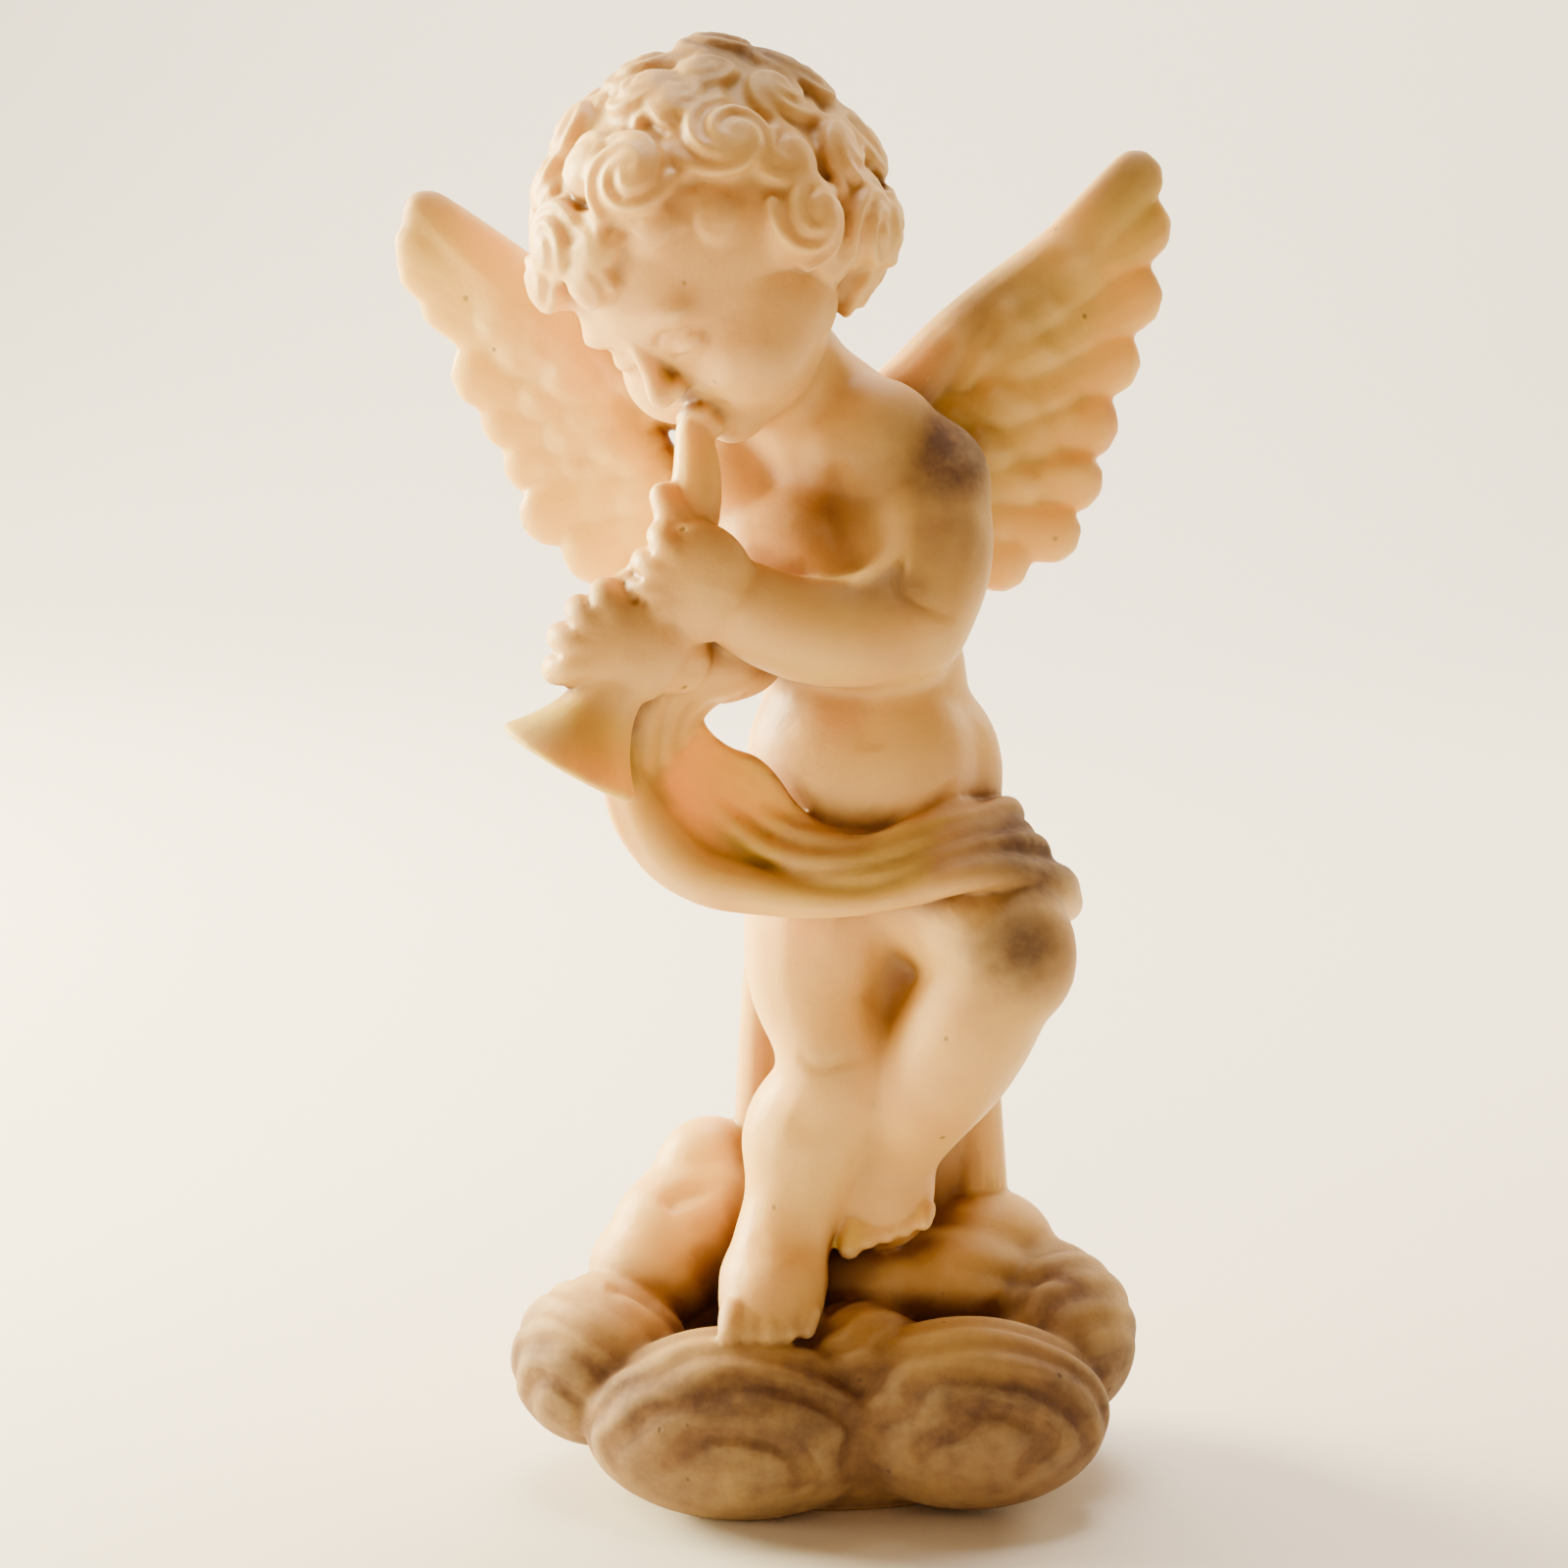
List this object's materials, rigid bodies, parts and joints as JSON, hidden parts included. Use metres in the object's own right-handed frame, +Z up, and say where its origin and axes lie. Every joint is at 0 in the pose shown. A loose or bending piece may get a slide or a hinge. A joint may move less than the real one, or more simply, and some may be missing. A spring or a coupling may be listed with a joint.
{
  "type": "cherub figurine",
  "caption": "Standing winged child on a bank of cloud, head bowed, blowing a short horn, with a sash round the hips; flat underside.",
  "frame": {"origin": "on the flat underside, below the middle of the cloud", "axes": "+Z up, along the figure's height; -Y the side that the knees and the horn face; +X towards the figure's left, the side of the bent leg"},
  "size_m": [0.1544, 0.1019, 0.2887],
  "materials": {
    "marble_resin": "satin, hand-worn, with grime in the hollows"
  },
  "bodies": {
    "root": {"cherub": "marble_resin"}
  },
  "joints": []
}
